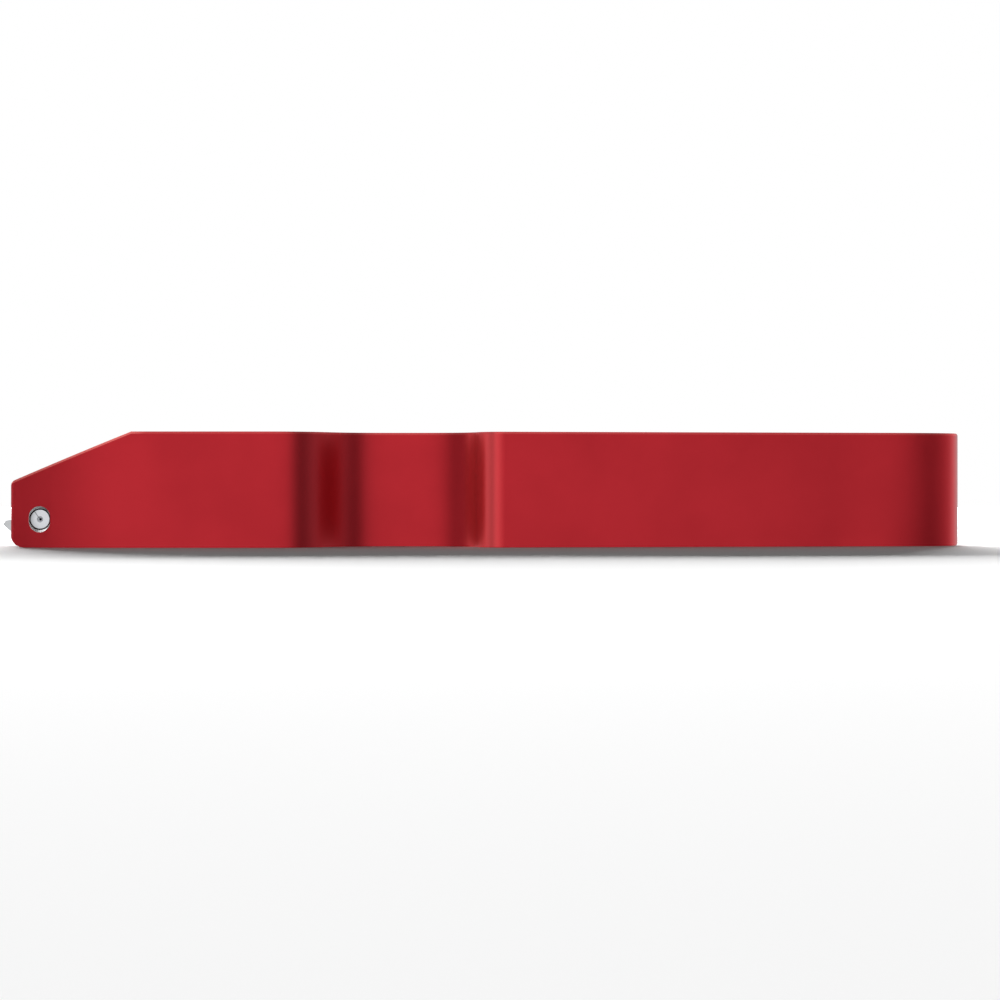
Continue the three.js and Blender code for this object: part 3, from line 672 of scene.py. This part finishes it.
def rocker():
    boss = turned("rocker", [(0, -ROCKER_HALF), (3.8 * MM, -ROCKER_HALF), (3.8 * MM, ROCKER_HALF), (0, ROCKER_HALF)],
                  (PIN.x, 0, PIN.z), "Y", 96)
    jaw_low = CUTTER_TOP + 0.3 * MM
    outline = rounded([
        (PIN.x, HOLDER_HIGH[2], 0), (HOLDER_LOW[0], HOLDER_HIGH[2] - 0.6 * MM, 1 * MM),
        (HOLDER_LOW[0], jaw_low, 0.4 * MM), (PIN.x, jaw_low, 0),
    ])
    jaw = prism("jaw", outline, -ROCKER_HALF, ROCKER_HALF, "Y")
    arm = block("arm", (PIN.x, HOLDER_HIGH[0]), (-ROCKER_HALF, ROCKER_HALF), (ARM_LOW, ARM_TOP))
    combine(boss, [jaw, arm], "UNION")
    reach = ROCKER_HALF + BEYOND
    return combine(boss, [
        turned("pin_way", [(0, -reach), (2.2 * MM, -reach), (2.2 * MM, reach), (0, reach)],
               (PIN.x, 0, PIN.z), "Y", 64),
        turned("screw_way", [(0, jaw_low - BEYOND), (1.4 * MM, jaw_low - BEYOND), (1.4 * MM, 8.7 * MM),
                             (0, 8.7 * MM)], (CUTTER_SCREW.x, 0, 0), "Z", 48),
        turned("spring_seat", [(0, 2.2 * MM), (2.7 * MM, 2.2 * MM), (2.7 * MM, 5.2 * MM), (0, 5.2 * MM)],
               (KNOB.x, 0, 0), "Z", 48),
        block("blade_way", (KNOB.x - 1 * MM, KNOB.x + 1 * MM), (-2.3 * MM, 2.3 * MM), (6.55 * MM, 8.3 * MM)),
    ])


def cutter():
    half = INSERT_HIGH[1]
    tip_z = 4.3 * MM
    outline = [
        (CUTTER_BACK_X, CUTTER_TOP), (CUTTER_TIP_X + 0.5 * MM, CUTTER_TOP), (CUTTER_TIP_X, tip_z),
        (CUTTER_TIP_X + 2.2 * MM, tip_z - 1.9 * MM), (CUTTER_TIP_X + 2.5 * MM, CUTTER_FOOT),
        (CUTTER_BACK_X, CUTTER_FOOT),
    ]
    mouth, hole = 2.05 * MM, 1.5 * MM
    seat = CUTTER_FOOT + 0.9 * MM
    way = turned("cutter_hole", [
        (0, CUTTER_FOOT - BEYOND), (mouth + 0.15 * MM, CUTTER_FOOT - BEYOND), (mouth, CUTTER_FOOT),
        (hole, seat), (hole, CUTTER_TOP + BEYOND), (0, CUTTER_TOP + BEYOND),
    ], (CUTTER_SCREW.x, 0, 0), "Z", 64)
    return combine(prism("cutter", outline, -half, half, "Y"), [way])


def cutter_screw():
    head, top = CUTTER_FOOT + 0.1 * MM, 8.4 * MM
    body = turned("cutter_screw", [
        (0, head), (1.7 * MM, head), (1.9 * MM, head + 0.12 * MM), (1.2 * MM, head + 0.8 * MM),
        (1.2 * MM, top - 0.3 * MM), (0.9 * MM, top), (0, top),
    ], (CUTTER_SCREW.x, 0, 0), "Z", 64)
    return combine(body, [hex_tool("socket", 0.75 * MM, (CUTTER_SCREW.x, 0, 0), head - BEYOND, head + 0.8 * MM)])


dress(rocker(), "cutter_holder", "tool_steel", "cutter", 0.2 * MM, 3, 32)
dress(cutter(), "cutter_insert", "carbide", "cutter", 0.07 * MM, 2, 25)
dress(cutter_screw(), "cutter_screw", "zinc_steel", "cutter", 0.06 * MM, 2, 35)


# ------------------------------------------------------------------ depth knob and its parts


def toothed(radius, depth, teeth):
    """A coarse straight knurl: flat lands with round-bottomed flutes between them."""
    points = []
    for tooth in range(teeth):
        for share, sink in ((0, 0), (0.36, 0), (0.47, 0.62), (0.58, 0.95), (0.68, 1), (0.78, 0.95), (0.89, 0.62)):
            angle = (tooth + share) / teeth * math.tau
            reach = radius - depth * sink
            points.append((reach * math.cos(angle), reach * math.sin(angle)))
    return points


def knurled_head(name, centre_x, radius, teeth, low, high):
    """A toothed disc with chamfered rims."""
    outline = [(centre_x + x, y) for x, y in toothed(radius, 0.45 * MM, teeth)]
    disc = prism(name, outline, low, high)
    rim = turned("rim", [
        (0, low), (radius - 0.5 * MM, low), (radius + 0.05 * MM, low + 0.5 * MM),
        (radius + 0.05 * MM, high - 0.5 * MM), (radius - 0.5 * MM, high), (0, high),
    ], (centre_x, 0, 0), "Z", 128)
    return combine(disc, [rim], "INTERSECT")


def depth_knob():
    low, high = KNOB_LOW[2], KNOB_HIGH[2]
    face_low = 14.7 * MM
    knob = knurled_head("depth_knob", KNOB.x, KNOB_HIGH[1], 36, face_low, high)
    stem = turned("stem", [
        (0, low), (3.1 * MM, low), (3.4 * MM, low + 0.3 * MM), (3.4 * MM, 9 * MM), (2.8 * MM, 9 * MM),
        (2.8 * MM, 10 * MM), (3.4 * MM, 10 * MM), (3.4 * MM, face_low + BEYOND), (0, face_low + BEYOND),
    ], (KNOB.x, 0, 0), "Z", 96)
    combine(knob, [stem], "UNION")
    dish = turned("dish", [(0, high - 0.45 * MM), (4.4 * MM, high - 0.45 * MM), (5.3 * MM, high - 0.3 * MM),
                           (5.6 * MM, high + BEYOND), (0, high + BEYOND)], (KNOB.x, 0, 0), "Z", 96)
    bore = turned("bore", [(0, low - BEYOND), (2.5 * MM, low - BEYOND), (2.3 * MM, low + 0.2 * MM),
                           (2.3 * MM, 16.6 * MM), (0, 16.6 * MM)], (KNOB.x, 0, 0), "Z", 64)
    marks = []
    for step in range(12):
        mark = block("mark", (5.85 * MM, 7.1 * MM), (-0.11 * MM, 0.11 * MM), (high - 0.14 * MM, high + BEYOND))
        mark.data.transform(Matrix.Translation((KNOB.x, 0, 0)) @ Matrix.Rotation(math.tau * step / 12, 4, "Z"))
        marks.append(mark)
    return combine(knob, [dish, bore, *marks])


def plunger():
    low, high = (corner[2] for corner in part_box("depth_plunger"))
    body = turned("plunger", [(0, 7.6 * MM), (1.9 * MM, 7.6 * MM), (1.9 * MM, high - 0.4 * MM), (1.5 * MM, high),
                              (0, high)], (KNOB.x, 0, 0), "Z", 64)
    blade = block("blade", (KNOB.x - 0.6 * MM, KNOB.x + 0.6 * MM), (-1.7 * MM, 1.7 * MM), (low, 7.8 * MM))
    return combine(body, [blade], "UNION")


def ring(name, inner, outer, low, high, centre_x):
    """A turned ring with its profile closed, clear of the axis."""
    chamfer = min(0.12 * MM, (high - low) / 4)
    return turned(name, [
        (inner + chamfer, low), (outer - chamfer, low), (outer, low + chamfer), (outer, high - chamfer),
        (outer - chamfer, high), (inner + chamfer, high), (inner, high - chamfer), (inner, low + chamfer),
    ], (centre_x, 0, 0))


def knob_bush():
    low, high = (corner[2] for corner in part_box("knob_bush"))
    flange = high - 0.5 * MM
    return turned("knob_bush", [
        (3.7 * MM, low), (4.8 * MM, low), (5 * MM, low + SMALL_CHAMFER), (5 * MM, flange), (6.6 * MM, flange),
        (6.6 * MM, high - 0.1 * MM), (6.5 * MM, high), (3.8 * MM, high), (3.7 * MM, high - 0.1 * MM),
    ], (KNOB.x, 0, 0))


def snap_ring():
    """An open ring with rounded ends."""
    low, high = (corner[2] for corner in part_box("knob_clip"))
    mouth = math.radians(35)
    outline = []
    for radius, start, end in ((5 * MM, mouth, math.tau - mouth), (3.1 * MM, math.tau - mouth, mouth)):
        for step in range(65):
            angle = start + (end - start) * step / 64
            outline.append((KNOB.x + radius * math.cos(angle), radius * math.sin(angle)))
    return prism("snap_ring", outline, low, high)


dress(depth_knob(), "depth_knob", "black_anodised", "knob", 0.05 * MM, 2, 40)
dress(snap_ring(), "knob_clip", "spring_steel", "knob", 0.1 * MM, 2, 40)
dress(knob_bush(), "knob_bush", "bronze", "handle")
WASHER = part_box("knob_washer")
dress(ring("knob_washer", 3.9 * MM, WASHER[1][1], WASHER[0][2], WASHER[1][2], KNOB.x),
      "knob_washer", "stainless", "handle")
dress(plunger(), "depth_plunger", "stainless", "plunger", 0.1 * MM, 2, 35)


# ------------------------------------------------------------------ click detent


def coil(name, radius, wire, start, end, turns, axis):
    """A compression spring with closed round ends, from start to end."""
    build = bmesh.new()
    steps, sides = turns * 40, 14
    length = (Vector(end) - Vector(start)).length
    rise = length - wire * 1.1
    rings = []
    for step in range(steps + 1):
        turn = step / steps * turns * math.tau
        height = wire * 0.55 + rise * step / steps
        centre = turned_point(radius, turn, height, start, axis)
        outward = (turned_point(1, turn, 0, (0, 0, 0), axis)).normalized()
        forward = (Vector(end) - Vector(start)).normalized()
        ring_points = []
        for side in range(sides):
            angle = side / sides * math.tau
            offset = (outward * math.cos(angle) + forward * math.sin(angle)) * wire / 2
            ring_points.append(build.verts.new(centre + offset))
        rings.append(ring_points)
    for one, two in zip(rings, rings[1:]):
        for side in range(sides):
            after = (side + 1) % sides
            build.faces.new((one[side], one[after], two[after], two[side]))
    build.faces.new(rings[0])
    build.faces.new(rings[-1])
    return finished_mesh(name, build)


def detent_ball():
    low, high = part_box("detent_ball")
    centre = middle(low, high)
    radius = (high[1] - low[1]) / 2
    build = bmesh.new()
    bmesh.ops.create_icosphere(build, subdivisions=4, radius=radius, matrix=Matrix.Translation(centre))
    return finished_mesh("detent_ball", build)


def detent_screw():
    low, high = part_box("detent_screw")
    centre = middle(low, high)
    radius = (high[2] - low[2]) / 2
    body = turned("detent_screw", [
        (0, low[1]), (radius - 0.3 * MM, low[1]), (radius, low[1] + 0.3 * MM), (radius, high[1] - 0.3 * MM),
        (radius - 0.3 * MM, high[1]), (0, high[1]),
    ], (centre.x, 0, centre.z), "Y", 64)
    socket = hex_tool("socket", 0.8 * MM, (centre.x, 0, centre.z), high[1] - 1.8 * MM, high[1] + BEYOND, "Y")
    return combine(body, [socket])


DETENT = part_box("detent_spring")
DETENT_START = (KNOB.x, DETENT[0][1], middle(*DETENT).z)
DETENT_END = (KNOB.x, DETENT[1][1], middle(*DETENT).z)
dress(detent_ball(), "detent_ball", "spring_steel", "handle")
SPRING_LOW, SPRING_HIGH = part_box("holder_spring")
SPRING_FOOT = Vector((KNOB.x, 0, SPRING_LOW[2]))
SPRING_TOP = Vector((KNOB.x, 0, SPRING_HIGH[2]))
holder_coil = dress(coil("holder_coil", 2.05 * MM, 0.5 * MM, SPRING_FOOT, SPRING_TOP, 3, "Z"),
                    "holder_spring", "spring_steel", "handle")
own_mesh(holder_coil)
dress(coil("detent_coil", 1.225 * MM, 0.35 * MM, DETENT_START, DETENT_END, 5, "Y"),
      "detent_spring", "spring_steel", "handle")
dress(detent_screw(), "detent_screw", "zinc_steel", "handle", 0.05 * MM, 2, 35)


# ------------------------------------------------------------------ guide plate

GUIDE_TRAVEL = 10 * MM
GUIDE_LEDGE = 1.5 * MM


def slot_outline(start_x, end_x, y, radius):
    points = []
    for centre_x, first in ((end_x, -math.pi / 2), (start_x, math.pi / 2)):
        for step in range(25):
            angle = first + math.pi * step / 24
            points.append((centre_x + radius * math.cos(angle), y + radius * math.sin(angle)))
    return points


def guide_plate():
    front, back, bridge = PLATE_LOW[0], PLATE_HIGH[0], -62 * MM
    inner, outer = 9.5 * MM, PLATE_HIGH[1]
    corner, inner_corner = 1.5 * MM, 0.4 * MM
    outline = rounded([
        (front, inner, corner), (front, outer, corner), (back, outer, corner), (back, -outer, corner),
        (front, -outer, corner), (front, -inner, corner),
        (bridge, -inner, inner_corner), (bridge, inner, inner_corner),
    ])
    plate = prism("guide_plate", outline, PLATE_LOW[2], PLATE_HIGH[2])
    slots = []
    for y in (-GUIDE_Y, GUIDE_Y):
        last = GUIDE_X + GUIDE_TRAVEL
        slots.append(prism("slot", slot_outline(GUIDE_X, last, y, 1.9 * MM), -BEYOND, PLATE_HIGH[2] + BEYOND))
        slots.append(prism("ledge", slot_outline(GUIDE_X, last, y, 3.3 * MM), -BEYOND, GUIDE_LEDGE))
    return combine(plate, slots)


def guide_screw(node):
    low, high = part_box(node)
    y = middle(low, high).y
    head_top = GUIDE_LEDGE - 0.3 * MM
    body = turned(node, [
        (0, low[2]), (2.7 * MM, low[2]), (2.9 * MM, low[2] + SMALL_CHAMFER), (2.9 * MM, head_top),
        (1.5 * MM, head_top), (1.5 * MM, high[2] - 0.5 * MM), (1 * MM, high[2]), (0, high[2]),
    ], (GUIDE_X, y, 0), "Z", 64)
    return combine(body, [hex_tool("socket", 0.9 * MM, (GUIDE_X, y, 0), low[2] - BEYOND, low[2] + 1.2 * MM)])


dress(guide_plate(), "guide_plate", "stainless", "guide", 0.18 * MM, 2, 35)
dress(guide_screw("guide_screw_left"), "guide_screw_left", "zinc_steel", "handle", 0.05 * MM, 2, 35)
dress(guide_screw("guide_screw_right"), "guide_screw_right", "zinc_steel", "handle", 0.05 * MM, 2, 35)


# ------------------------------------------------------------------ lock screw and its parts


def lock_screw():
    low, high = LOCK_LOW[2], LOCK_HIGH[2]
    face_low = 15.9 * MM
    head = knurled_head("lock_screw", LOCK.x, LOCK_HIGH[1], 30, face_low, high)
    stem = turned("stem", [(0, low), (2.6 * MM, low), (3 * MM, low + 0.4 * MM), (3 * MM, face_low + BEYOND),
                           (0, face_low + BEYOND)], (LOCK.x, 0, 0), "Z", 96)
    combine(head, [stem], "UNION")
    reach = LOCK_HIGH[1] + BEYOND
    coin_slot = block("coin_slot", (LOCK.x - 0.8 * MM, LOCK.x + 0.8 * MM), (-reach, reach),
                      (high - 2.2 * MM, high + BEYOND))
    step = turned("step", [(6.15 * MM, high - 0.25 * MM), (9 * MM, high - 0.25 * MM), (9 * MM, high + BEYOND),
                           (6.15 * MM, high + BEYOND)], (LOCK.x, 0, 0))
    return combine(head, [coin_slot, step])


def lock_pad():
    low, high = (corner[2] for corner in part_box("lock_pad"))
    return turned("lock_pad", [(0, low), (2.6 * MM, low), (2.9 * MM, low + 0.3 * MM), (2.9 * MM, high), (0, high)],
                  (LOCK.x, 0, 0))


LOCK_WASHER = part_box("lock_washer")
LOCK_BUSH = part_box("lock_bush")
dress(lock_screw(), "lock_screw", "black_anodised", "lock", 0.06 * MM, 2, 40)
dress(ring("lock_washer", 3.4 * MM, LOCK_WASHER[1][1], LOCK_WASHER[0][2], LOCK_WASHER[1][2], LOCK.x),
      "lock_washer", "stainless", "lock")
dress(ring("lock_bush", 3.3 * MM, LOCK_BUSH[1][1], LOCK_BUSH[0][2], LOCK_BUSH[1][2], LOCK.x),
      "lock_bush", "bronze", "handle")
dress(lock_pad(), "lock_pad", "nylon", "lock")


# ------------------------------------------------------------------ materials of the hidden CAD nodes

NODE_SLOTS = {row["node"]: row["material_slot"] for row in frame["record"]["subparts"]}
for node_name, node in frame["nodes"].items():
    node.data.materials.clear()
    node.data.materials.append(MATERIALS[NODE_SLOTS[node_name]])


# ------------------------------------------------------------------ camera, floor and light

NEAR_FACE_Y = -HEAD_HALF
CAMERA_BACK = 450 * MM
FIELD = 199.5 * MM
CAMERA_X = 1.4 * MM
CAMERA_Z = 12 * MM
FRAME_MIDDLE_Z = 9.52 * MM
SENSOR = 36.0
FLOOR_HALF, FLOOR_BACK = 1.2, 0.9
FLOOR_LOW, FLOOR_TOP = -0.01, -0.00005  # the top is just clear of the handle's bottom face


def add_camera():
    data = bpy.data.cameras.new("camera")
    data.sensor_width = SENSOR
    data.lens = SENSOR * CAMERA_BACK / FIELD
    data.shift_y = (FRAME_MIDDLE_Z - CAMERA_Z) / FIELD
    data.clip_start = 0.01
    data.clip_end = 50
    camera = bpy.data.objects.new("camera", data)
    camera.location = (CAMERA_X, NEAR_FACE_Y - CAMERA_BACK, CAMERA_Z)
    camera.rotation_euler = (math.pi / 2, 0, 0)
    bpy.context.scene.collection.objects.link(camera)
    bpy.context.scene.camera = camera


def add_floor():
    """A matt white floor that reflections don't show."""
    span_y = (NEAR_FACE_Y - CAMERA_BACK, FLOOR_BACK)
    floor = block("floor", (-FLOOR_HALF, FLOOR_HALF), span_y, (FLOOR_LOW, FLOOR_TOP))
    material, tree, shader = new_material("floor_white", (0.93, 0.93, 0.93), 0.0, 0.8)
    shader.inputs["Specular IOR Level"].default_value = 0.0
    floor.data.materials.append(material)
    floor.visible_glossy = False
    return floor


def add_area(name, location, target, size, power, size_y=None):
    data = bpy.data.lights.new(name, "AREA")
    data.energy = power
    data.size = size
    if size_y:
        data.shape = "RECTANGLE"
        data.size_y = size_y
    light = bpy.data.objects.new(name, data)
    light.location = location
    light.rotation_euler = (Vector(target) - Vector(location)).to_track_quat("-Z", "Y").to_euler()
    bpy.context.scene.collection.objects.link(light)
    return light


def add_world():
    """White to the camera, a dim even fill for diffuse light, and STUDIO_LEVELS for reflections only."""
    world = bpy.data.worlds.new("studio")
    world.use_nodes = True
    tree = world.node_tree
    background = tree.nodes["Background"]
    direction = add_node(tree, "ShaderNodeTexCoord").outputs["Generated"]
    split = add_node(tree, "ShaderNodeSeparateXYZ", {"Vector": direction})
    azimuth = add_node(tree, "ShaderNodeMath", {0: split.outputs[0], 1: split.outputs[1]}, operation="ARCTAN2")
    turn = ramp(tree, azimuth.outputs[0], -math.pi, math.pi, 0, 1)
    curve = add_node(tree, "ShaderNodeValToRGB", {"Fac": turn})
    stops = curve.color_ramp.elements
    levels = STUDIO_LEVELS
    stops[0].position, stops[0].color = levels[0][0], (levels[0][1],) * 3 + (1,)
    stops[1].position, stops[1].color = levels[-1][0], (levels[-1][1],) * 3 + (1,)
    for position, level in levels[1:-1]:
        stops.new(position).color = (level, level, level, 1)
    above = ramp(tree, split.outputs[2], 0.6, 0.85, 0, 1)
    below = ramp(tree, split.outputs[2], -0.7, -0.35, 1, 0)
    height = add_node(tree, "ShaderNodeMath", {0: above, 1: below}, operation="ADD").outputs[0]
    light = mixed_color(tree, height, curve.outputs["Color"], (CEILING,) * 3)
    toward = add_node(tree, "ShaderNodeVectorMath", {0: direction, 1: OVERHEAD_DIRECTION}, operation="DOT_PRODUCT")
    light = mixed_color(tree, ramp(tree, toward.outputs["Value"], 0.86, 0.96, 0, 1), light, (OVERHEAD,) * 3)
    rays = add_node(tree, "ShaderNodeLightPath")
    light = mixed_color(tree, rays.outputs["Is Diffuse Ray"], light, (ROOM_FILL,) * 3)
    light = mixed_color(tree, rays.outputs["Is Camera Ray"], light, (1, 1, 1))
    tree.links.new(light, background.inputs["Color"])
    background.inputs["Strength"].default_value = 1.0
    bpy.context.scene.world = world


# Brightness of the studio by direction, once round: 0 and 1 are straight ahead of the camera's side
# (-Y), 0.25 is the nose's side (-X), 0.5 is behind (+Y) and 0.75 is the grip end's side (+X).
STUDIO_LEVELS = [(0.0, 1.3), (0.03, 1.28), (0.06, 1.12), (0.09, 0.62), (0.125, 0.46), (0.18, 0.62), (0.25, 0.8),
                 (0.36, 0.7), (0.5, 0.9), (0.62, 1.0), (0.69, 1.5), (0.76, 0.85), (0.83, 0.52), (0.87, 0.26),
                 (0.905, 0.4), (0.935, 1.12), (1.0, 1.3)]
ROOM_FILL = 0.1
CEILING = 0.12  # straight up and straight down
OVERHEAD = 2.5
OVERHEAD_DIRECTION = Vector((-0.4, 0, 0.92)).normalized()

add_camera()
floor = add_floor()
add_world()
back = add_area("back", (-0.2, 1.6, 0.36), (0, 0, 0), 2.0, 232, 0.6)
back.visible_camera = False
lit = bpy.data.collections.new("lit_from_behind")
lit.objects.link(floor)
back.light_linking.receiver_collection = lit

view = bpy.context.scene.view_settings
view.view_transform = "Standard"
view.look = "None"
view.exposure = 0
view.gamma = 1
